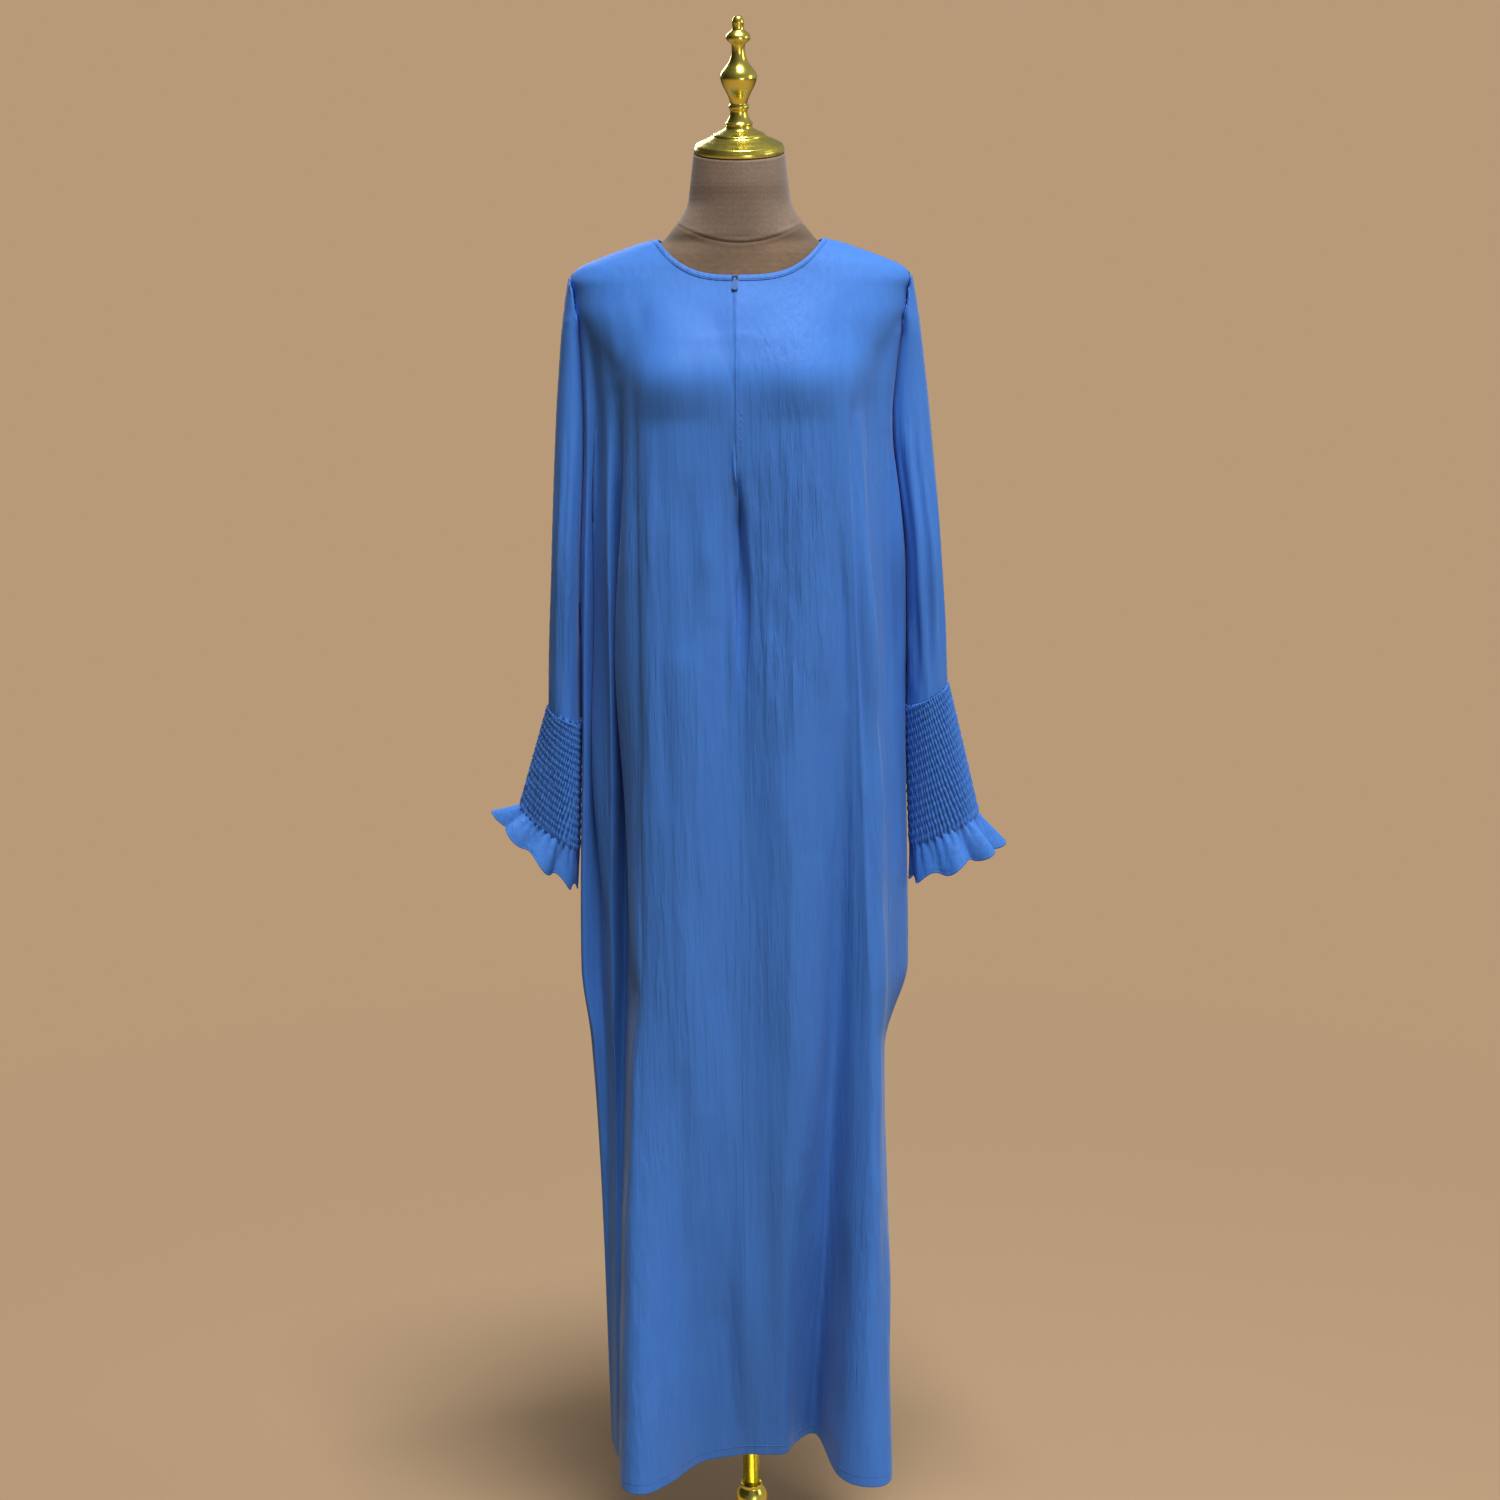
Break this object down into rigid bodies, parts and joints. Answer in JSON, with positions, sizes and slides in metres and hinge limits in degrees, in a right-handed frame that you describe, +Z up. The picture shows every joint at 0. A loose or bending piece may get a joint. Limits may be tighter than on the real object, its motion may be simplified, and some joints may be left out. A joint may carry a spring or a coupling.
{
  "type": "jilbab robe on a dress form stand",
  "caption": "Long loose batwing robe with a front zip, a pleat and shirred ruffle cuffs, standing on a limbless dress form with a neck cap, finial, pole and round base.",
  "frame": {"origin": "centre of the round base, on its underside, which stands on the floor", "axes": "+Z up along the pole; the front of the robe faces -Y; the wearer's left is +X"},
  "size_m": [0.5943, 0.3376, 1.8759],
  "materials": {
    "crepe": "matt crinkle crepe",
    "linen": "matt plain-weave linen cover",
    "gold": "bright gold electroplate",
    "zip_metal": "lacquered to match the cloth",
    "zip_tape": "woven tape"
  },
  "bodies": {
    "stand": {"form_torso": "linen", "neck_cap": "gold", "finial": "gold", "pole": "gold", "pole_collar": "gold", "base": "gold", "front_left": "crepe", "front_right": "crepe", "back": "crepe", "neck_binding": "crepe", "zip_tape": "zip_tape", "zip_slider": "zip_metal", "cuff_left": "crepe", "cuff_right": "crepe"},
    "pull": {"zip_pull": "zip_metal"}
  },
  "joints": [
    {"name": "zip_pull_swing", "type": "hinge", "parent": "stand", "child": "pull", "pos_m": [-0.006, -0.07704, 1.60381], "axis": [-1, 0, 0], "range_deg": [0, 150]}
  ]
}
